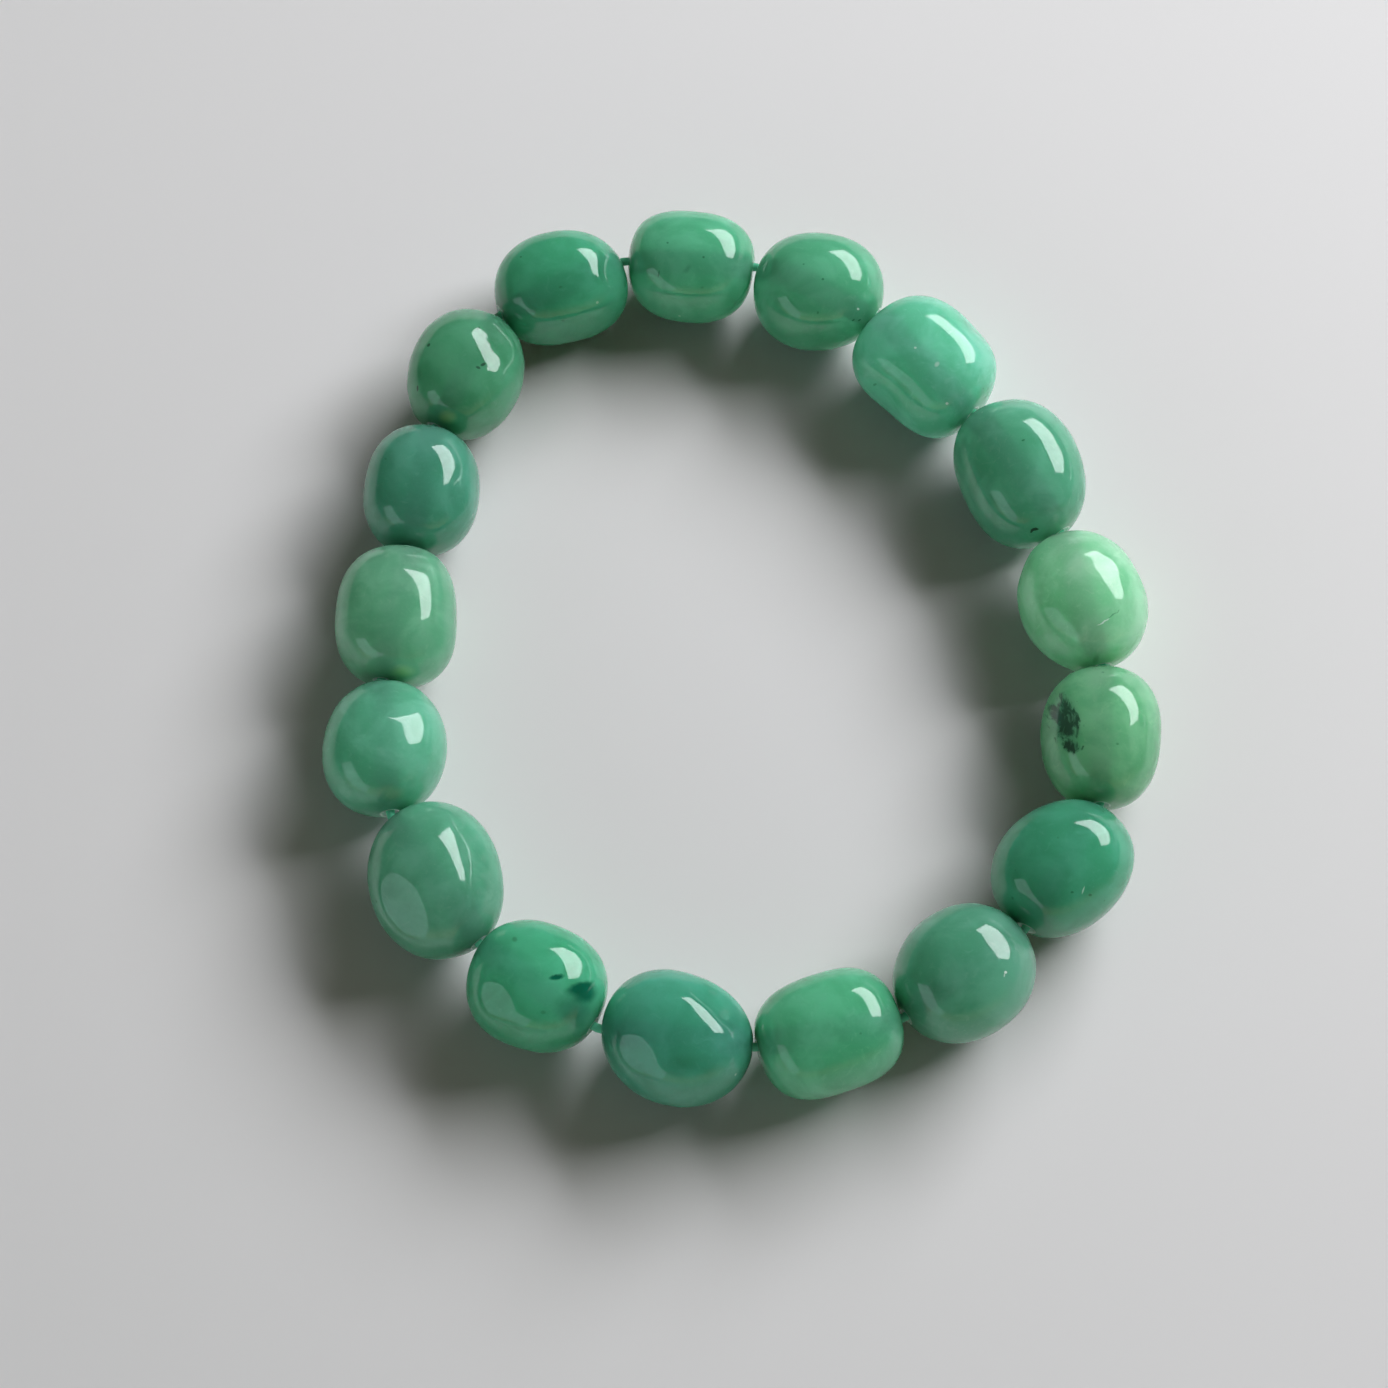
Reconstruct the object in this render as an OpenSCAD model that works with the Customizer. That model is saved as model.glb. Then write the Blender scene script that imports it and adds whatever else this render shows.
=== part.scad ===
// Stretch bracelet of tumbled green stone beads, lying flat as a closed loop.
// Lengths are in millimetres and angles in degrees. +Z is up, and the origin is on the surface
// that the bracelet lies on, under the middle of the loop.

/* [Loop] */
// Size of the bracelet, as a share of the sizes in the table of stones
loop_scale = 1; // [0.9:0.05:1.1]
// Clearance between neighbouring stones
stone_gap = 0.16; // [0.12:0.02:0.3]

/* [Stones] */
// Squareness of a stone's section: 2 is an ellipse, and more is squarer
section_power = 2.15; // [2:0.05:2.5]
// Diameter of the hole drilled through each stone
hole_d = 1.3; // [1.2:0.1:1.6]
// Number of sides round each stone
stone_sides = 16; // [12:4:16]
// Number of rings of points from one end of a stone to the other
stone_rings = 13; // [9:2:15]

/* [Cord] */
// Diameter of the elastic cord
cord_d = 0.7; // [0.5:0.1:0.8]
// Number of sides round the cord
cord_sides = 8; // [6:1:12]

/* [Hidden] */
// Columns of the table of stones. The three directions count from +X towards +Y.
BEARING = 0; // direction from the stone's middle to the next one's
HOLE = 1;    // direction of the drilled hole
AXIS = 2;    // direction of the stone's own length
LENGTH = 3;
WIDTH = 4;
HEIGHT = 5;
SQUARE = 6;  // squareness of the ends: 2 is an ellipse, and more is squarer
TAPER = 7;   // how much wider the far end is, as a share of the radius
BOW = 8;     // how far both ends bend to the left, as a share of the radius
SHADE = 9;   // colour, from 0, deep green, to 1, pale mint

// A row for each stone, clockwise from above, starting left of the far end of the loop
STONES = [
    [11.0, 27, 13, 11.5, 9.5, 9.2, 2.3, -0.01, -0.08, 0.2],
    [-13.5, -3, -6, 10.9, 9.4, 9.2, 2.5, 0.00, 0.06, 0.45],
    [-39.0, -26, -2, 11.2, 9.9, 9.7, 2.2, -0.04, 0.03, 0.4],
    [-53.5, -50, -45, 11.8, 10.3, 9.8, 2.8, -0.02, -0.10, 0.7],
    [-68.5, -59, -71, 12.8, 10.3, 9.8, 2.3, -0.02, -0.06, 0.3],
    [-85.5, -77, -68, 12.0, 10.2, 9.9, 2.1, 0.01, 0.02, 0.8],
    [-108.5, -94, -95, 11.7, 9.6, 9.4, 2.3, -0.03, 0.04, 0.6],
    [-133.0, -122, -142, 11.9, 10.0, 9.7, 2.1, 0.03, 0.03, 0.15],
    [-156.0, -144, -142, 11.5, 10.3, 9.8, 2.1, -0.03, 0.01, 0.35],
    [-178.0, -169, -161, 11.3, 9.3, 9.2, 2.7, -0.01, 0.02, 0.4],
    [-201.0, -187, -202, 11.9, 10.2, 9.6, 2.1, 0.01, -0.04, 0.4],
    [-226.5, -216, -199, 10.9, 9.9, 9.5, 2.3, 0.02, -0.01, 0.6],
    [-248.0, -235, -256, 12.7, 10.6, 9.8, 2.1, -0.01, -0.02, 0.5],
    [-272.5, -263, -278, 11.2, 9.9, 9.6, 2.1, -0.02, 0.02, 0.45],
    [-278.0, -279, -270, 11.6, 9.9, 9.5, 2.6, -0.03, -0.02, 0.55],
    [-287.0, -278, -275, 11.1, 9.6, 9.4, 2.3, -0.01, 0.03, 0.2],
    [-313.0, -295, -288, 11.5, 9.8, 9.5, 2.1, 0.01, 0.03, 0.45]
];
count = len(STONES);

DEEP_GREEN = [0.16, 0.46, 0.33];
PALE_MINT = [0.50, 0.76, 0.62];
CLEAR_CORD = [0.80, 0.86, 0.82];

// Share of the length at which a bowed stone stays in line, squared
bow_balance = 0.3;
// Height of the cord's middle above the surface below
cord_z = 4.8 * loop_scale;
// Where the cord's rings lie in a hole, as shares of the way from the stone's middle to the hole's mouth
cord_stations = [-0.5, 0, 0.5];
// Directions in which neighbours are tried for contact, on both sides of the line between them
contact_fan = [-30:5:30];
// Longest stone in the table, which every drill passes through
drill_h = 2 * loop_scale * max([for (s = STONES) s[LENGTH]]);

bead_names = [for (i = [1:count]) str("bead_", i < 10 ? "0" : "", i)];

function level(a) = [cos(a), sin(a), 0];
function turned(v, a) = [v.x * cos(a) - v.y * sin(a), v.x * sin(a) + v.y * cos(a), v.z];
function sum(list, end) = end < 0 ? [0, 0, 0] : list[end] + sum(list, end - 1);

// Distance from a stone's middle to its surface, in the direction d of its own axes:
// x along its length, y to the left and z up
function radius(s, d) =
    let (
        left = abs(d.y) / s[WIDTH],
        up = abs(d.z) / s[HEIGHT],
        along = abs(d.x) / s[LENGTH],
        across = pow(pow(left, section_power) + pow(up, section_power), 1 / section_power),
        even = loop_scale / 2 / pow(pow(along, s[SQUARE]) + pow(across, s[SQUARE]), 1 / s[SQUARE]),
        taper = s[TAPER] * d.x * d.y * d.y,
        bow = s[BOW] * d.y * (d.x * d.x - bow_balance)
    )
    even * (1 + taper + bow);

// Point on a stone's surface, with its hole along x: lat is 90 at the hole's far mouth, and side
// turns from the left through the top
function skin_point(s, lat, side) =
    let (d = [sin(lat), cos(lat) * cos(side), cos(lat) * sin(side)])
    d * radius(s, turned(d, s[HOLE] - s[AXIS]));

function ring_points(s) = [
    for (k = [1:stone_rings], j = [0:stone_sides - 1])
        skin_point(s, 180 * k / (stone_rings + 1) - 90, 360 * j / stone_sides)
];

// Near mouth, rings and far mouth of each stone, with its hole along x
stone_points = [
    for (s = STONES)
        concat([skin_point(s, -90, 0)], ring_points(s), [skin_point(s, 90, 0)])
];
near_mouth = [for (p = stone_points) p[0]];
far_mouth = [for (p = stone_points) p[len(p) - 1]];

// The same points with the hole at its true direction
laid_points = [for (i = [0:count - 1]) [for (p = stone_points[i]) turned(p, STONES[i][HOLE])]];

// How far a stone reaches from its middle along the direction a
function reach(i, a) = max([for (p = laid_points[i]) p * level(a)]);

// Spacing at which a stone and the next one lie a gap apart
function spacing(i) =
    let (next = (i + 1) % count, a = STONES[i][BEARING])
    min([for (t = contact_fan) (reach(i, a + t) + reach(next, a + t + 180) + stone_gap) / cos(t)]);

// The walk from stone to stone, with the little that it fails to close by shared out evenly
steps = [for (i = [0:count - 1]) spacing(i) * level(STONES[i][BEARING])];
misfit = sum(steps, count - 1) / count;
walk = [for (i = [0:count - 1]) sum(steps, i - 1) - i * misfit];
walk_points = [for (i = [0:count - 1], p = laid_points[i]) walk[i] + p];

function middle_of(values) = (min(values) + max(values)) / 2;
loop_middle = [middle_of([for (p = walk_points) p.x]), middle_of([for (p = walk_points) p.y]), 0];
centres = [for (p = walk) p - loop_middle];

// Point on the line of a stone's hole, on the cord's level, at a distance from the stone's middle
function on_hole(i, x) = centres[i] + x * level(STONES[i][HOLE]) + [0, 0, cord_z];

// The cord bends half way between the mouths of two neighbouring holes
function bend(i) =
    let (next = (i + 1) % count)
    (on_hole(i, far_mouth[i].x) + on_hole(next, near_mouth[next].x)) / 2;

cord_route = [
    for (i = [0:count - 1])
        each concat([for (t = cord_stations) on_hole(i, t * far_mouth[i].x)], [bend(i)])
];

// Four-cornered faces between two rings of points, as pairs of triangles
function band(first, second, sides) = [
    for (j = [0:sides - 1])
        let (next = (j + 1) % sides)
        each [[first + j, second + j, second + next], [first + j, second + next, first + next]]
];

module stone(points) {
    last = len(points) - 1;
    last_ring = last - stone_sides;
    near_cap = [for (j = [0:stone_sides - 1]) [0, 1 + j, 1 + (j + 1) % stone_sides]];
    far_cap = [for (j = [0:stone_sides - 1]) [last, last_ring + (j + 1) % stone_sides, last_ring + j]];
    bands = [
        for (k = [0:stone_rings - 2])
            each band(1 + k * stone_sides, 1 + (k + 1) * stone_sides, stone_sides)
    ];
    polyhedron(points, concat(near_cap, bands, far_cap), convexity = 2);
}

module bead(i) {
    s = STONES[i];
    middle_z = loop_scale * s[HEIGHT] / 2;
    color(DEEP_GREEN + s[SHADE] * (PALE_MINT - DEEP_GREEN))
        translate(centres[i] + [0, 0, middle_z])
            rotate([0, 0, s[HOLE]])
                difference() {
                    stone(stone_points[i]);
                    translate([0, 0, cord_z - middle_z])
                        rotate([0, 90, 0])
                            cylinder(h = drill_h, d = hole_d, center = true, $fn = 32);
                }
}

module elastic_cord() {
    rings = len(cord_route);
    points = [
        for (k = [0:rings - 1])
            let (
                before = cord_route[(k + rings - 1) % rings],
                after = cord_route[(k + 1) % rings],
                course = atan2(after.y - before.y, after.x - before.x)
            )
            for (j = [0:cord_sides - 1])
                let (a = 360 * j / cord_sides)
                cord_route[k] + cord_d / 2 * (cos(a) * level(course + 90) + [0, 0, sin(a)])
    ];
    faces = [
        for (k = [0:rings - 1])
            each band(k * cord_sides, ((k + 1) % rings) * cord_sides, cord_sides)
    ];
    color(CLEAR_CORD) polyhedron(points, faces, convexity = 4);
}

for (i = [0:count - 1])
    bead(i);
elastic_cord();
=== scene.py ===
import math

import bpy
import numpy as np
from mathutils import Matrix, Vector, noise


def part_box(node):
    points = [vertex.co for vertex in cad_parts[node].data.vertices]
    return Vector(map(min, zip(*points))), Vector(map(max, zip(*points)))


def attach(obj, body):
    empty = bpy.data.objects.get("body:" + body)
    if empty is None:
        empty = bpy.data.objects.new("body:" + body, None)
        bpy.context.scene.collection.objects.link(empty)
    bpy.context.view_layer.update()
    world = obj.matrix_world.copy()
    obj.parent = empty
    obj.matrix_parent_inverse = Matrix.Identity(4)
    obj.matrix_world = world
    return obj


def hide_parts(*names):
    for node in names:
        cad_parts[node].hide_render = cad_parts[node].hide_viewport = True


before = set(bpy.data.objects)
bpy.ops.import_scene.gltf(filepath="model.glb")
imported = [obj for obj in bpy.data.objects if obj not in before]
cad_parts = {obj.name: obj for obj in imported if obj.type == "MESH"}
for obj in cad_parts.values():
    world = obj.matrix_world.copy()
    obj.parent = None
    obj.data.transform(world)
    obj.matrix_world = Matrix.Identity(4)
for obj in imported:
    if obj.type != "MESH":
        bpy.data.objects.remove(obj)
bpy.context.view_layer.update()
scene = bpy.context.scene
MM = 0.001

# Camera: the photograph was taken from 22 degrees off straight above
TILT = math.radians(22)
AIM = Vector((-3.87, -5.41, 5.0)) * MM
DISTANCE = 225.8 * MM
camera_data = bpy.data.cameras.new("camera")
camera_data.sensor_width = 36
camera_data.lens = 72.62
camera_data.clip_start = 0.01
camera_data.clip_end = 20
camera = bpy.data.objects.new("camera", camera_data)
camera.location = AIM + DISTANCE * Vector((0, -math.sin(TILT), math.cos(TILT)))
camera.rotation_euler = (TILT, 0, 0)
scene.collection.objects.link(camera)
scene.camera = camera
scene.view_settings.view_transform = "Standard"

# Axes of the photograph in the frame: its right, its up, and towards the camera
SEEN = np.array([
    (1, 0, 0),
    (0, math.cos(TILT), math.sin(TILT)),
    (0, -math.sin(TILT), math.cos(TILT)),
])

# The stones, as in the source: direction of the drilled hole and of the stone's own length, in
# degrees from +X towards +Y, then length, width, height, squareness of the ends, taper and bow.
# Here and below, sizes are in millimetres unless another unit is named.
HOLE, AXIS, LENGTH, WIDTH, HEIGHT, SQUARE, TAPER, BOW = range(8)
STONES = [
    (27, 13, 11.5, 9.5, 9.2, 2.3, -0.01, -0.08),
    (-3, -6, 10.9, 9.4, 9.2, 2.5, 0.00, 0.06),
    (-26, -2, 11.2, 9.9, 9.7, 2.2, -0.04, 0.03),
    (-50, -45, 11.8, 10.3, 9.8, 2.8, -0.02, -0.10),
    (-59, -71, 12.8, 10.3, 9.8, 2.3, -0.02, -0.06),
    (-77, -68, 12.0, 10.2, 9.9, 2.1, 0.01, 0.02),
    (-94, -95, 11.7, 9.6, 9.4, 2.3, -0.03, 0.04),
    (-122, -142, 11.9, 10.0, 9.7, 2.1, 0.03, 0.03),
    (-144, -142, 11.5, 10.3, 9.8, 2.1, -0.03, 0.01),
    (-169, -161, 11.3, 9.3, 9.2, 2.7, -0.01, 0.02),
    (-187, -202, 11.9, 10.2, 9.6, 2.1, 0.01, -0.04),
    (-216, -199, 10.9, 9.9, 9.5, 2.3, 0.02, -0.01),
    (-235, -256, 12.7, 10.6, 9.8, 2.1, -0.01, -0.02),
    (-263, -278, 11.2, 9.9, 9.6, 2.1, -0.02, 0.02),
    (-279, -270, 11.6, 9.9, 9.5, 2.6, -0.03, -0.02),
    (-278, -275, 11.1, 9.6, 9.4, 2.3, -0.01, 0.03),
    (-295, -288, 11.5, 9.8, 9.5, 2.1, 0.01, 0.03),
]
SECTION_POWER = 2.15  # squareness of a stone's section: 2 is an ellipse, and more is squarer
BOW_BALANCE = 0.3  # share of the length at which a bowed stone stays in line, squared
HOLE_D = 1.3
CORD_D = 0.7
CORD_Z = 4.8
SOURCE_RINGS = 15  # rings of points of a solid in the source, counting its two mouths
SOURCE_SIDES = 16

# Fineness of the meshes
SIDES = 96
RINGS = 84
BORE_RINGS = 8
RIM_TURNS = np.radians([30, 60, 90])
CORD_SIDES = 16
CORD_STEPS = 4

RIM = 0.06  # how far a hole's worn rim rounds over
MOUTH_POWER = 4  # how close to the mouths the rings begin to shift towards the hole

# Flats ground into a stone: the way each faces, as (right, up) in the photograph's axes, how deep
# it cuts, how crisp its edge is, and for one that bends along its length, that length's direction
# in the photograph in degrees and its curvature
FLATS = {
    1: [(0.66, 0.22, 0.20, 60, 0, 0)],
    5: [(-0.52, 0.0, 0.04, 80, -64, 0.10)],
    6: [
        (0.40, 0.46, 0.08, 50, 0, 0),
        (-0.48, -0.10, 0.05, 80, -60, 0.09),
    ],
    9: [(0.33, 0.50, 0.06, 60, 0, 0)],
    11: [
        (0.50, 0.70, 0.45, 60, -32, 0.06),
        (0.34, 0.50, 0.04, 60, 0, 0),
        (-0.50, -0.14, 0.24, 120, 0, 0),
    ],
    12: [
        (-0.48, -0.14, 0.24, 120, 0, 0),
        (0.45, 0.40, 0.05, 60, -50, 0.08),
    ],
    13: [
        (-0.46, -0.10, 0.42, 200, -64, 0.055),
        (0.74, 0.36, 0.45, 24, -70, 0.09),
        (0.42, 0.46, 0.07, 60, -62, 0.10),
    ],
    14: [
        (0.24, 0.72, 0.40, 50, 0, 0),
        (0.45, 0.38, 0.10, 60, 0, 0),
    ],
    15: [
        (0.34, 0.72, 0.20, 40, 0, 0),
        (0.70, -0.04, 0.16, 120, 80, 0.06),
    ],
    16: [(0.70, 0.0, 0.16, 120, 80, 0.06)],
    17: [
        (0.62, 0.30, 0.30, 40, -78, 0.07),
        (0.45, 0.36, 0.06, 100, -84, 0.08),
    ],
}
# Hollows worn into a stone, and with a depth under 0 swellings left on it: the way each faces, its
# depth, and its half width in radians
DENTS = {
    1: [(0.34, 0.42, -0.16, 0.42)],
    4: [
        (-0.74, -0.60, 0.32, 0.30),
        (0.76, 0.56, 0.25, 0.26),
    ],
    7: [(0.46, 0.48, -0.14, 0.42)],
    8: [(0.58, 0.545, -0.20, 0.38)],
    9: [(0.40, 0.50, -0.18, 0.42)],
    17: [
        (0.37, 0.08, 0.05, 0.055),
        (0.30, 0.02, 0.03, 0.05),
    ],
}
# How uneven the polish is, where it isn't the usual
USUAL_WAVES = 0.010
WAVES = {2: 0.016, 6: 0.030, 9: 0.016, 17: 0.028}
WAVE_LEVEL = 1.5  # keeps the waves inside the stone's own shape
# Broad and fine waves: how many to a millimetre, and how strong the broad ones are beside the fine
BROAD = 0.32
FINE = 0.9
BROAD_SHARE = 4
# How far small pits go in a stone with a worn polish
PITTING = {6: 0.006, 17: 0.007}
PITS = 1.9  # how many to a millimetre

# Each stone's colour: how bright its green is, and its red and its blue as shares of the green
TONES = [
    (0.27, 0.17, 0.55),
    (0.325, 0.23, 0.56),
    (0.305, 0.26, 0.58),
    (0.46, 0.27, 0.64),
    (0.28, 0.29, 0.64),
    (0.53, 0.39, 0.54),
    (0.35, 0.34, 0.51),
    (0.265, 0.18, 0.58),
    (0.28, 0.28, 0.63),
    (0.375, 0.21, 0.52),
    (0.25, 0.19, 0.66),
    (0.305, 0.17, 0.55),
    (0.275, 0.30, 0.64),
    (0.36, 0.27, 0.62),
    (0.345, 0.34, 0.59),
    (0.24, 0.25, 0.67),
    (0.255, 0.24, 0.53),
]
BLACK = (0.010, 0.025, 0.018)
TEAL = (0.0, 0.08, 0.045)
DARK = (0.02, 0.12, 0.06)
PALE = (0.62, 0.80, 0.70)
# Painted glow, for light that comes through a stone
PAINTED_GLOW = (0.42, 0.62, 0.22)
VEIL = (0.05, 0.15, 0.10)
FERN = (0.02, 0.06, 0.04)
# Painted light for the wall of the hole, lifting the dark inside it
BORE_PAINTED_LIGHT = (0.80, 0.96, 0.88)
# The cord's darker and paler streaks, painted green for the light it takes from the stones
CORD_DARK_STONE_LIGHT = (0.10, 0.62, 0.36)
CORD_PALE_STONE_LIGHT = (0.16, 0.75, 0.48)
WHITE = (1.0, 1.0, 1.0)

# Marks in each stone, and spots of painted glow, seen from the camera: right and up from its
# middle, length, width, turn in degrees, colour, how dense it is, and how soft its edge is, from 0
# to 1
MARKS = {
    1: [
        (-3.2, 2.55, 0.22, 0.16, 0, DARK, 0.8, 0.4),
        (0.0, 0.13, 0.3, 0.2, 20, DARK, 0.5, 0.6),
        (0.2, -2.6, 0.3, 0.16, 0, DARK, 0.6, 0.5),
    ],
    2: [
        (1.0, 0.73, 0.22, 0.2, 0, DARK, 0.8, 0.4),
        (-1.9, 1.9, 0.2, 0.2, 0, DARK, 0.7, 0.4),
        (-2.6, -0.6, 0.55, 0.14, 80, DARK, 0.7, 0.5),
        (-0.3, -0.2, 0.9, 0.4, 40, DARK, 0.35, 0.9),
        (0.9, -1.7, 0.3, 0.2, 0, DARK, 0.4, 0.6),
    ],
    3: [
        (0.35, 1.0, 0.24, 0.22, 0, DARK, 0.8, 0.4),
        (-1.2, 2.2, 0.2, 0.18, 0, DARK, 0.6, 0.5),
        (-0.05, -1.7, 0.26, 0.2, 90, DARK, 0.6, 0.5),
        (3.2, -1.4, 0.22, 0.18, 0, PALE, 0.7, 0.5),
        (2.8, -2.3, 0.3, 0.14, 30, DARK, 0.8, 0.4),
        (3.3, -2.3, 0.3, 0.14, 30, DARK, 0.8, 0.4),
    ],
    4: [
        (-0.86, 1.5, 0.24, 0.2, 0, PALE, 0.7, 0.5),
        (0.9, 0.16, 0.5, 0.35, 40, PALE, 0.45, 0.7),
        (1.7, -3.0, 0.24, 0.2, 0, PALE, 0.6, 0.5),
        (-4.1, -1.45, 0.25, 0.2, 0, DARK, 0.5, 0.5),
    ],
    5: [
        (1.2, -4.5, 0.75, 0.26, 12, BLACK, 1.0, 0.3),
        (0.95, -4.65, 0.3, 0.2, 60, BLACK, 0.9, 0.3),
        (0.3, 2.7, 0.3, 0.16, 20, DARK, 0.8, 0.4),
    ],
    6: [
        (1.7, -1.65, 1.2, 0.12, 30, PALE, 0.8, 0.5),
        (2.45, -1.1, 0.9, 0.10, 35, DARK, 0.6, 0.5),
        (2.9, -0.8, 0.4, 0.08, 60, DARK, 0.5, 0.5),
        (1.1, -4.7, 0.9, 0.5, 80, DARK, 0.35, 0.9),
    ],
    7: [
        (1.3, -0.5, 0.25, 0.2, 0, DARK, 0.5, 0.6),
        (0.2, -4.6, 1.8, 0.9, 20, DARK, 0.35, 1.0),
    ],
    8: [
        (2.25, -2.2, 0.28, 0.22, 0, DARK, 0.8, 0.4),
        (0.8, -2.0, 0.25, 0.2, 0, DARK, 0.7, 0.4),
        (1.7, -1.8, 0.6, 0.12, 75, PALE, 0.4, 0.6),
    ],
    9: [
        (3.4, 0.13, 0.26, 0.22, 0, PALE, 0.9, 0.4),
        (3.3, -0.1, 0.3, 0.12, 80, PALE, 0.5, 0.5),
    ],
    10: [
        (2.6, 0.0, 0.22, 0.18, 0, DARK, 0.4, 0.5),
        (-0.6, -1.2, 1.8, 1.0, 20, DARK, 0.18, 1.0),
    ],
    11: [(0.3, -2.2, 2.4, 1.4, 10, DARK, 0.25, 1.0)],
    12: [
        (3.2, -1.8, 3.2, 2.6, 60, TEAL, 0.5, 1.0),
        (3.6, -0.15, 2.5, 1.0, 10, TEAL, 1.0, 0.6),
        (3.95, -0.6, 1.9, 1.4, 0, TEAL, 0.95, 0.8),
        (1.55, 0.75, 1.2, 0.44, 8, TEAL, 1.0, 0.6),
        (-1.8, 3.8, 0.45, 0.4, 0, DARK, 0.6, 0.7),
        (0.5, -2.1, 0.4, 0.3, 0, DARK, 0.4, 0.8),
    ],
    # Painted glow low on stones 14, 15 and 17, where light comes through them
    14: [(0.6, -3.6, 1.8, 1.2, 0, PAINTED_GLOW, 0.15, 1.0)],
    15: [(0.5, -4.4, 1.8, 1.0, 0, PAINTED_GLOW, 0.3, 1.0)],
    16: [(-2.9, 2.6, 0.24, 0.2, 0, DARK, 0.4, 0.5)],
    17: [
        (-3.0, 2.4, 0.34, 0.24, 50, BLACK, 0.8, 0.4),
        (-3.9, -1.1, 0.5, 0.16, 85, BLACK, 0.9, 0.3),
        (1.4, 0.85, 0.5, 0.26, 30, BLACK, 0.8, 0.5),
        (1.0, 0.58, 0.4, 0.22, -20, BLACK, 0.7, 0.5),
        (1.0, 3.75, 0.4, 0.24, 60, DARK, 0.7, 0.5),
        # Painted glow low on the stone, where light comes through it
        (-1.5, -3.4, 1.4, 1.0, 0, PAINTED_GLOW, 0.35, 1.0),
    ],
}
MARK_DEPTH = 1.6  # how far a mark reaches into the stone
STRAY = 0.5  # how far the edge of a mark strays, of which a short mark takes a smaller share
LONG_MARK = 0.6
LONG_SHARE = 0.6
SHORT_SHARE = 0.25
# Fern-like growths in a stone, seen from the camera: right and up from its middle, half width and
# half height of each patch
FERNS = {7: [(-2.85, 1.45, 0.80, 1.60), (-2.35, -0.7, 0.52, 0.40)]}
FERN_STRETCH = 0.55  # under 1, the growths are longer upwards

# Green of each stone's material slot, where it isn't the middle one
GREENS = {
    **dict.fromkeys((1, 5, 8, 9, 16), "deep"),
    **dict.fromkeys((4, 6, 7, 12, 13), "pale"),
}


def turned(d, degrees):
    """Points or directions d, turned about the vertical."""
    a = math.radians(degrees)
    c, s = math.cos(a), math.sin(a)
    return np.stack([d[..., 0] * c - d[..., 1] * s, d[..., 0] * s + d[..., 1] * c, d[..., 2]], -1)


def seen_direction(right, up):
    """Unit vector in the frame, from its first two parts in the photograph's axes."""
    return np.array((right, up, math.sqrt(1 - right * right - up * up))) @ SEEN


def seen_along(degrees):
    """Direction in the frame that lies at this angle in the photograph."""
    a = math.radians(degrees)
    return math.cos(a) * SEEN[0] + math.sin(a) * SEEN[1]


def directions(lat, side, shift=0.0):
    """Directions round the hole's line, from latitudes and sides in radians, raised by shift."""
    x = np.sin(lat) + 0 * side
    return np.stack([x, np.cos(lat) * np.cos(side), np.cos(lat) * np.sin(side) + shift], -1)


def radius(stone, d):
    """Distance from a stone's middle to its surface, in directions d of its own axes."""
    x, y, z = d[..., 0], d[..., 1], d[..., 2]
    across = (
        (np.abs(y) / stone[WIDTH]) ** SECTION_POWER + (np.abs(z) / stone[HEIGHT]) ** SECTION_POWER
    ) ** (1 / SECTION_POWER)
    along = np.abs(x) / stone[LENGTH]
    even = 0.5 / (along ** stone[SQUARE] + across ** stone[SQUARE]) ** (1 / stone[SQUARE])
    return even * (1 + stone[TAPER] * x * y**2 + stone[BOW] * y * (x**2 - BOW_BALANCE))


def middle_of(node, stone):
    """Where the stone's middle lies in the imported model."""
    low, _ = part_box(node)
    lat = np.radians(np.linspace(-90, 90, SOURCE_RINGS))[:, None]
    side = np.radians(np.arange(SOURCE_SIDES) * 360 / SOURCE_SIDES)[None]
    d = directions(lat, side)
    reach = radius(stone, turned(d, stone[HOLE] - stone[AXIS]))[..., None]
    points = turned(d * reach, stone[HOLE])
    x, y = np.array(low[:2]) / MM - points.reshape(-1, 3).min(0)[:2]
    return np.array([x, y, stone[HEIGHT] / 2])


def on_hole(stone, middle, x):
    """The point of the hole's line at a distance x from the stone's middle."""
    a = math.radians(stone[HOLE])
    return np.array((middle[0] + x * math.cos(a), middle[1] + x * math.sin(a), CORD_Z))


def mouth_distance(stone, way):
    """Where the near (-1) or far (1) mouth of the hole lies on that line."""
    d = turned(np.array((float(way), 0, 0)), stone[HOLE] - stone[AXIS])
    return way * float(radius(stone, d))


def shaped(number, stone, d, r):
    """Radii r in the stone's own directions d, with its flats, hollows and unevenness."""
    for right, up, deep, crisp, turn, curve in FLATS.get(number, []):
        facing = turned(seen_direction(right, up), -stone[AXIS])
        along = turned(seen_along(turn), -stone[AXIS])
        lean = (d * facing).sum(-1) + curve / 2 * r * (d * along).sum(-1) ** 2
        reach = (r * lean).max() - deep
        r = (r**-crisp + (np.maximum(lean, 0) / reach) ** crisp) ** (-1 / crisp)
    for right, up, deep, wide in DENTS.get(number, []):
        facing = turned(seen_direction(right, up), -stone[AXIS])
        off = np.arccos(np.clip((d * facing).sum(-1), -1, 1))
        r = r - deep * np.exp(-((off / wide) ** 2))
    flat = (d * r[..., None]).reshape(-1, 3)
    broad_part = Vector((7.3 * number, 0, 0))
    fine_part = Vector((0, 5.1 * number, 0))
    wave = [
        noise.noise(Vector(p * BROAD) + broad_part) * BROAD_SHARE
        + noise.noise(Vector(p * FINE) + fine_part)
        for p in flat
    ]
    depth = WAVES.get(number, USUAL_WAVES)
    r = r - depth * (WAVE_LEVEL + np.array(wave).reshape(r.shape))
    if number in PITTING:
        pits = [max(0.0, noise.noise(Vector(p * PITS))) for p in flat]
        r = r - PITTING[number] * 2 * np.array(pits).reshape(r.shape)
    return r


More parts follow.
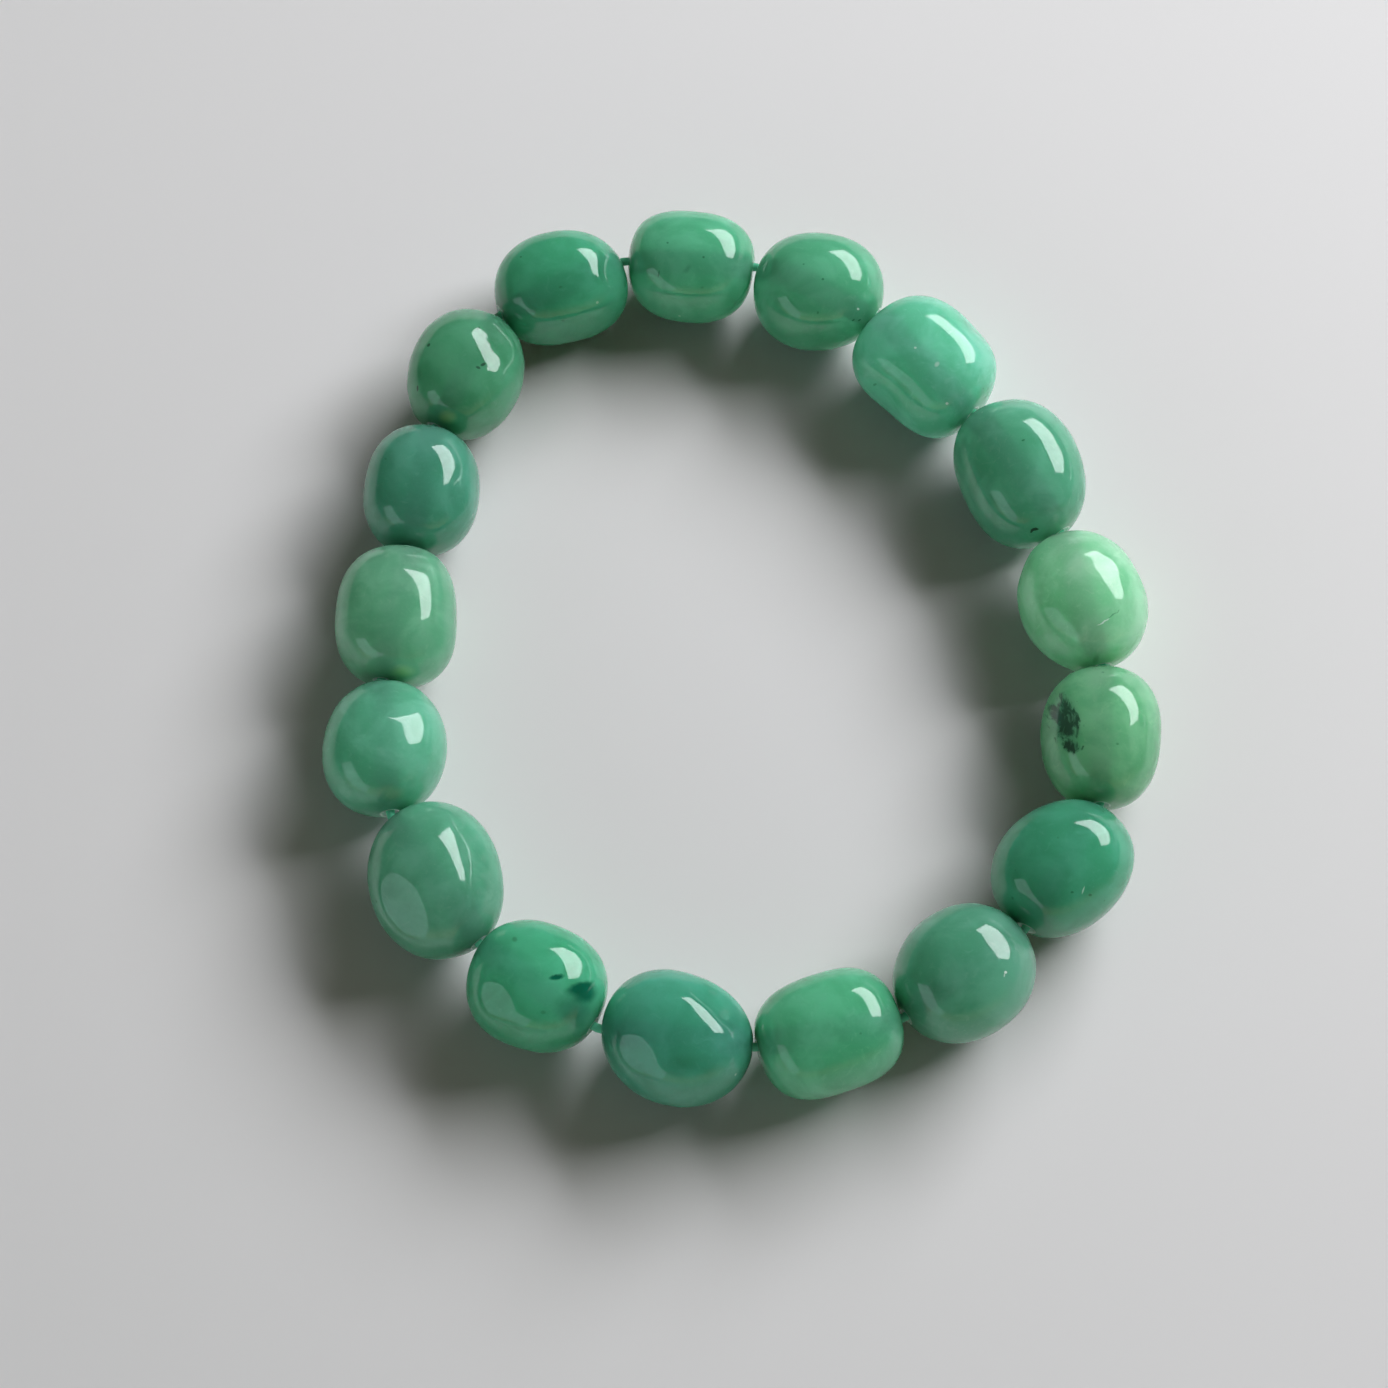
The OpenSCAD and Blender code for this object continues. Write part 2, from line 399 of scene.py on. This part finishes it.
def bead_mesh(name, number, stone, middle):
    """A polished stone with a true hole through it, round whose mouths the rim is worn."""
    half_length = stone[LENGTH] / 2
    hole_r = HOLE_D / 2
    hole_up = CORD_Z - stone[HEIGHT] / 2
    mouth = math.asin((hole_r + RIM) / half_length)
    lat = np.linspace(-math.pi / 2 + mouth, math.pi / 2 - mouth, RINGS)[:, None]
    side = np.linspace(0, 2 * math.pi, SIDES, endpoint=False)[None]
    d = directions(lat, side, hole_up / half_length * np.sin(lat) ** MOUTH_POWER)
    d /= np.linalg.norm(d, axis=-1, keepdims=True)
    own = turned(d, stone[HOLE] - stone[AXIS])
    outer = d * shaped(number, stone, own, radius(stone, own))[..., None]

    def circle(x, r):
        y, z = r * np.cos(side[0]), hole_up + r * np.sin(side[0])
        return np.stack([x + 0 * side[0], y, z], -1)[None]

    def rim(edge, way, turns):
        return [
            circle(edge + way * RIM * (1 - math.cos(t)), hole_r + RIM * (1 - math.sin(t)))
            for t in turns
        ]

    near, far = outer[0, :, 0], outer[-1, :, 0]
    bore = np.linspace(far.mean(), near.mean(), BORE_RINGS + 2)[1:-1]
    rings = [outer, *rim(far, -1, RIM_TURNS)]
    rings += [circle(x, hole_r) for x in bore]
    rings += rim(near, 1, RIM_TURNS[::-1])
    return tube_mesh(name, (turned(np.concatenate(rings), stone[HOLE]) + middle) * MM)


def tube_mesh(name, rings):
    """A closed ring of rings of points, as four-cornered faces."""
    count, sides = rings.shape[:2]
    j = np.arange(sides)
    faces = []
    for k in range(count):
        a, b = k * sides, (k + 1) % count * sides
        faces += np.stack([a + j, a + (j + 1) % sides, b + (j + 1) % sides, b + j], -1).tolist()
    mesh = bpy.data.meshes.new(name)
    mesh.from_pydata(rings.reshape(-1, 3).tolist(), [], faces)
    mesh.validate()
    mesh.shade_smooth()
    return mesh


def new_object(name, mesh):
    o = bpy.data.objects.new(name, mesh)
    scene.collection.objects.link(o)
    return o


class Nodes:
    """Makes shader nodes, and links or sets their inputs."""

    # Places of a Mix node's two colours among its inputs, and of the mixed one in its outputs
    FIRST_COLOUR, SECOND_COLOUR, MIXED = 6, 7, 2

    def __init__(self, tree):
        self.tree = tree

    def new(self, kind, settings=None, values=(), **inputs):
        """A node with some settings, values for its first inputs, and inputs by name."""
        n = self.tree.nodes.new("ShaderNode" + kind)
        for key, value in (settings or {}).items():
            setattr(n, key, value)
        for key, value in [*enumerate(values), *inputs.items()]:
            self.set(n, key, value)
        return n

    def set(self, n, key, value):
        """Links or sets an input, by its place or its name, with _ for a space."""
        socket = n.inputs[key.replace("_", " ") if isinstance(key, str) else key]
        if isinstance(value, bpy.types.NodeSocket):
            self.tree.links.new(value, socket)
        else:
            socket.default_value = value

    def math(self, operation, *values):
        return self.new("Math", {"operation": operation}, values).outputs[0]

    def vector(self, operation, *values):
        n = self.new("VectorMath", {"operation": operation}, values)
        return n.outputs["Value" if operation in ("LENGTH", "DOT_PRODUCT") else "Vector"]

    def scaled(self, v, factor):
        return self.new("VectorMath", {"operation": "SCALE"}, [v], Scale=factor).outputs["Vector"]

    def measured(self, off, axes, sizes):
        """Parts of a vector along some axes, each as a share of a size."""
        parts = [
            self.math("DIVIDE", self.vector("DOT_PRODUCT", off, tuple(axis)), size)
            for axis, size in zip(axes, sizes)
        ]
        return self.new("CombineXYZ", None, parts).outputs[0]

    def fade(self, value, low, high, to_low=0.0, to_high=1.0):
        """Goes smoothly from to_low to to_high as value goes from low to high."""
        values = (value, low, high, to_low, to_high)
        n = self.new("MapRange", {"interpolation_type": "SMOOTHSTEP"}, values)
        return n.outputs["Result"]

    def mix(self, factor, a, b):
        n = self.new("Mix", {"data_type": "RGBA"}, [factor])
        self.set(n, self.FIRST_COLOUR, a)
        self.set(n, self.SECOND_COLOUR, b)
        return n.outputs[self.MIXED]

    def noise(self, where, scale, detail, rough, distort=0.0, output="Fac"):
        return self.new(
            "TexNoise", None, Vector=where, Scale=scale, Detail=detail, Roughness=rough,
            Distortion=distort,
        ).outputs[output]


def new_material(name):
    """A material, its nodes and its shader."""
    m = bpy.data.materials.new(name)
    m.use_nodes = True
    return m, Nodes(m.node_tree), m.node_tree.nodes["Principled BSDF"]


def shade(colour, by=WHITE):
    """A colour for a socket, with its three parts multiplied by those of by."""
    return (*[c * f for c, f in zip(colour, by)], 1)


def mark_place(stone, middle, right, up):
    """The point of a stone's surface that the camera sees at that place, in metres."""
    eye = np.array(camera.location) / MM - middle
    across = (right * SEEN[0] + up * SEEN[1]) * (eye @ SEEN[2]) / (DISTANCE / MM)
    sight = (eye - across) / np.linalg.norm(eye - across)
    # Steps along the line of sight, from about the surface, until it is met
    out = 4.5
    for _ in range(30):
        p = across + out * sight
        far = np.linalg.norm(p)
        out += 0.8 * (float(radius(stone, turned(p / far, -stone[AXIS]))) - far)
    return (across + out * sight + middle) * MM


def clouded(n, where, wisps, tone):
    """The stone's colour, with clouds, wisps, grains of mica, and dark and pale specks."""
    clouds = n.noise(where, scale=0.28, detail=3.0, rough=0.55, distort=0.5)
    grains = n.noise(where, scale=5.0, detail=2.0, rough=0.7)
    deep, milky = shade(tone, (0.78, 0.88, 0.84)), shade(tone, (1.18, 1.08, 1.12))
    colour = n.mix(n.fade(clouds, 0.36, 0.66), deep, milky)
    for amount, by in (
        (n.fade(wisps, 0.56, 0.72, 0.0, 0.28), (1.7, 1.2, 1.35)),
        (n.fade(grains, 0.55, 0.75, 0.0, 0.16), (1.6, 1.25, 1.35)),
        (n.fade(grains, 0.25, 0.42, 0.14, 0.0), (0.45, 0.62, 0.55)),
    ):
        colour = n.mix(amount, colour, shade(tone, by))
    # Dark specks in some cells of a random pattern, pale ones in a few others
    cells = n.new("TexVoronoi", None, Vector=where, Scale=0.55)
    pick = n.new("SeparateColor", None, Color=cells.outputs["Color"]).outputs
    ragged = n.math("MULTIPLY", n.math("SUBTRACT", grains, 0.5), 0.05)
    speck = n.fade(n.math("ADD", cells.outputs["Distance"], ragged), 0.045, 0.085, 1.0, 0.0)
    dark = n.math("MULTIPLY", speck, n.fade(pick["Red"], 0.80, 0.84, 0.0, 0.55))
    pale = n.math("MULTIPLY", speck, n.fade(pick["Green"], 0.88, 0.91, 0.0, 0.22))
    return n.mix(pale, n.mix(dark, colour, shade(DARK)), shade(PALE))


def marked(n, colour, place, where, number, stone, middle):
    """The colour with the stone's own marks, and spots of painted glow for light through it."""
    cloud = n.noise(where, scale=1.6, detail=3.0, rough=0.6, output="Color")
    stray = n.scaled(n.vector("SUBTRACT", cloud, (0.5, 0.5, 0.5)), STRAY * MM)
    for right, up, length, width, turn, mark, dense, soft in MARKS.get(number, []):
        off = n.vector("SUBTRACT", place, tuple(mark_place(stone, middle, right, up)))
        share = LONG_SHARE if length > LONG_MARK else SHORT_SHARE
        off = n.vector("ADD", off, n.scaled(stray, share))
        axes = seen_along(turn), seen_along(turn + 90), SEEN[2]
        sizes = length / 2 * MM, width / 2 * MM, MARK_DEPTH * MM
        gone = n.vector("LENGTH", n.measured(off, axes, sizes))
        amount = n.fade(gone, 1 - 0.8 * soft, 1 + 0.5 * soft, dense, 0.0)
        colour = n.mix(amount, colour, shade(mark))
    # Black growths under a dark veil
    for right, up, wide, tall in FERNS.get(number, []):
        off = n.vector("SUBTRACT", place, tuple(mark_place(stone, middle, right, up)))
        strokes = n.measured(off, SEEN[:2], (MM, MM / FERN_STRETCH))
        growth = n.noise(strokes, scale=1.9, detail=4.0, rough=0.62, distort=0.7)
        gone = n.vector("LENGTH", n.measured(off, SEEN[:2], (wide * MM, tall * MM)))
        colour = n.mix(n.fade(gone, 0.4, 1.6, 0.7, 0.0), colour, shade(VEIL))
        thinned = n.math("MULTIPLY", n.math("MULTIPLY", gone, gone), 0.12)
        rest = n.math("SUBTRACT", growth, thinned)
        colour = n.mix(n.fade(rest, 0.27, 0.47, 0.0, 0.95), colour, shade(FERN))
    return colour


def stone_material(name, number, stone, middle):
    """Milky green quartz under a glassy polish."""
    m, n, shader = new_material(name)
    green, red, blue = TONES[number - 1]
    tone = (green * red, green, green * blue)
    place = n.new("TexCoord").outputs["Object"]
    # Place in millimetres, in a part of the random patterns that no other stone has
    part = (31.7 * number, 12.3 * number, 5.9 * number)
    where = n.vector("ADD", n.scaled(place, 1 / MM), part)
    wisps = n.noise(where, scale=0.75, detail=4.0, rough=0.6, distort=1.6)
    colour = clouded(n, where, wisps, tone)
    # Painted light: paler round the mouths of the hole, to lift the shade where the stones meet
    mouths = [on_hole(stone, middle, mouth_distance(stone, way)) * MM for way in (-1, 1)]
    off = [n.vector("SUBTRACT", place, tuple(mouth)) for mouth in mouths]
    near = n.math("MINIMUM", *[n.vector("LENGTH", v) for v in off])
    painted_mouth_light = n.fade(near, 0.8 * MM, 2.6 * MM, 0.4, 0.0)
    colour = n.mix(painted_mouth_light, colour, shade(tone, (1.5, 1.5, 1.5)))
    # Painted light: the wall of the hole is painted pale, to lift the dark inside it
    hole_way = tuple(turned(np.array((1.0, 0, 0)), stone[HOLE]))
    aside = n.vector("LENGTH", n.vector("CROSS_PRODUCT", off[0], hole_way))
    colour = n.mix(n.fade(aside, 0.68 * MM, 0.90 * MM, 1.0, 0.0), colour, shade(BORE_PAINTED_LIGHT))
    colour = marked(n, colour, place, where, number, stone, middle)
    n.set(shader, "Base_Color", colour)
    n.set(shader, "Roughness", n.fade(wisps, 0.3, 0.7, 0.045, 0.085))
    n.set(shader, "IOR", 1.62)
    n.set(shader, "Subsurface_Weight", 1.0)
    n.set(shader, "Subsurface_Radius", (0.75, 1.0, 0.87))
    # Light goes deep into the stone, and less so at its mouths
    n.set(shader, "Subsurface_Scale", n.fade(near, 0.8 * MM, 3.4 * MM, 2 * MM, 30 * MM))
    polish = n.noise(where, scale=1.1, detail=3.0, rough=0.5)
    bump = n.new("Bump", None, Strength=0.25, Distance=0.02 * MM, Height=polish)
    n.set(shader, "Normal", bump.outputs[0])
    return m


def cord_mesh(name, middles):
    """The elastic cord on the source's route, straight in each hole and bent between stones."""
    route = []
    for i, stone in enumerate(STONES):
        after = (i + 1) % len(STONES)
        far = mouth_distance(stone, 1)
        near = mouth_distance(STONES[after], -1)
        route += [on_hole(stone, middles[i], t * far) for t in (-0.5, 0, 0.5)]
        ends = on_hole(stone, middles[i], far), on_hole(STONES[after], middles[after], near)
        route.append((ends[0] + ends[1]) / 2)
    smooth = []
    for k in range(len(route)):
        p0, p1, p2, p3 = (route[(k + j) % len(route)] for j in (-1, 0, 1, 2))
        for t in np.arange(CORD_STEPS) / CORD_STEPS:
            bend = (2 * p0 - 5 * p1 + 4 * p2 - p3) * t**2 + (3 * p1 - p0 - 3 * p2 + p3) * t**3
            smooth.append(0.5 * (2 * p1 + (p2 - p0) * t + bend))
    smooth = np.array(smooth)
    course = np.roll(smooth, -1, 0) - np.roll(smooth, 1, 0)
    course /= np.linalg.norm(course, axis=1, keepdims=True)
    left = np.stack([-course[:, 1], course[:, 0], 0 * course[:, 0]], -1)[:, None]
    a = np.linspace(0, 2 * math.pi, CORD_SIDES, endpoint=False)[None, :, None]
    rings = smooth[:, None] + CORD_D / 2 * (np.cos(a) * left + np.sin(a) * np.array((0, 0, 1.0)))
    return tube_mesh(name, rings * MM)


def cord_material(name):
    """Clear elastic, faintly streaked, painted green for the light that it takes from the stones.
    """
    m, n, shader = new_material(name)
    place = n.new("TexCoord").outputs["Object"]
    streaks = n.noise(place, scale=0.9 / MM, detail=3.0, rough=0.6)
    n.set(shader, "Base_Color", n.mix(streaks, shade(CORD_DARK_STONE_LIGHT), shade(CORD_PALE_STONE_LIGHT)))
    n.set(shader, "Roughness", n.fade(streaks, 0.3, 0.7, 0.40, 0.55))
    n.set(shader, "IOR", 1.45)
    n.set(shader, "Transmission_Weight", 0.15)
    n.set(shader, "Specular_IOR_Level", 0.3)
    return m


def floor_material(name):
    """Plain, pale and matt."""
    m, n, shader = new_material(name)
    n.set(shader, "Base_Color", (0.84, 0.83, 0.835, 1))
    n.set(shader, "Roughness", 0.9)
    n.set(shader, "Specular_IOR_Level", 0.2)
    return m


def softbox(name, corners, distance, colour, strength, reflected=True, lights=None):
    """A glowing panel that isn't seen itself, and that lights all pieces, or those given.

    Corners are bearings and heights in degrees, and the distance is in metres."""
    points = []
    for bearing, height in corners:
        a, h = math.radians(bearing), math.radians(height)
        way = np.array([math.cos(h) * math.cos(a), math.cos(h) * math.sin(a), math.sin(h)])
        points.append(tuple(distance * way))
    mesh = bpy.data.meshes.new(name)
    mesh.from_pydata(points, [], [tuple(range(len(points)))])
    panel = new_object(name, mesh)
    m = bpy.data.materials.new(name)
    m.use_nodes = True
    m.node_tree.nodes.clear()
    n = Nodes(m.node_tree)
    glow = n.new("Emission", None, Color=(*colour, 1), Strength=strength)
    n.new("OutputMaterial", None, Surface=glow.outputs[0])
    panel.data.materials.append(m)
    panel.visible_camera = False
    panel.visible_shadow = False
    panel.visible_glossy = reflected
    if lights:
        panel.light_linking.receiver_collection = bpy.data.collections.new(name)
        for piece in lights:
            panel.light_linking.receiver_collection.objects.link(piece)


def light_room(name):
    """Dim all round, and brighter near the horizon on the camera's side."""
    world = bpy.data.worlds.new(name)
    scene.world = world
    world.use_nodes = True
    n = Nodes(world.node_tree)
    background = world.node_tree.nodes["Background"]
    n.set(background, "Color", (1.0, 0.90, 0.58, 1))
    way = n.new("SeparateXYZ", None, [n.new("TexCoord").outputs["Generated"]]).outputs
    low = n.fade(way["Z"], 0.0, 0.45, 1.0, 0.0)
    front = n.fade(way["Y"], -0.25, -0.80, 0.0, 0.60)
    n.set(background, "Strength", n.math("MULTIPLY_ADD", low, front, 0.062))


middles = []
pieces = []
for number, stone in enumerate(STONES, 1):
    node = f"bead_{number:02d}"
    name = f"stone_{number:02d}"
    middle = middle_of(node, stone)
    middles.append(middle)
    bead = new_object(name, bead_mesh(name, number, stone, middle))
    bead.data.materials.append(stone_material(name, number, stone, middle))
    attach(bead, "root")
    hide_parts(node)
    pieces.append(bead)

cord = new_object("cord", cord_mesh("cord", middles))
cord.data.materials.append(cord_material("cord"))
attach(cord, "root")
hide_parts("elastic_cord")
pieces.append(cord)

FLOOR = 1.5  # half its side, in metres
floor_mesh = bpy.data.meshes.new("floor")
floor_corners = [(-FLOOR, -FLOOR, 0), (FLOOR, -FLOOR, 0), (FLOOR, FLOOR, 0), (-FLOOR, FLOOR, 0)]
floor_mesh.from_pydata(floor_corners, [], [(0, 1, 2, 3)])
floor = new_object("floor", floor_mesh)
floor.data.materials.append(floor_material("floor"))

# The key lights share a shape: one is seen in the polish, and the other only brightens. The weak
# fill from the camera's side is for the bracelet alone, so the floor's shadows stay deep.
KEY = [(11, 46), (40, 46), (63, 41), (79, 35), (66, 20), (48, 19), (28, 22), (12, 29)]
FILL = [(-170, 30), (-120, 85), (-60, 30), (-120, 22)]
LOW = [(-168, 14), (-158, 34), (-108, 17), (-112, 0)]
STRIP_RIGHT = [(8, 11), (8, 12.2), (34, 3.7), (34, 2.5)]
STRIP_LEFT = [(34, 2.5), (34, 3.7), (65, 6.1), (65, 4.9)]
NEUTRAL = (0.98, 0.98, 1.0)
COOL = (0.9, 1.0, 1.0)
softbox("key_light", KEY, 0.72, (0.95, 0.97, 1.0), 6.7)
softbox("key_fill", KEY, 0.70, NEUTRAL, 5.7, reflected=False)
softbox("fill_light", FILL, 0.6, NEUTRAL, 0.42, reflected=False, lights=pieces)
softbox("low_light", LOW, 0.8, (0.80, 1.0, 1.02), 1.0)
softbox("strip_right", STRIP_RIGHT, 0.8, COOL, 4.2)
softbox("strip_left", STRIP_LEFT, 0.8, COOL, 4.2)
light_room("room")

# Light scattered many times inside the stones
scene.cycles.max_bounces = 32
scene.cycles.diffuse_bounces = 24
scene.cycles.transmission_bounces = 12
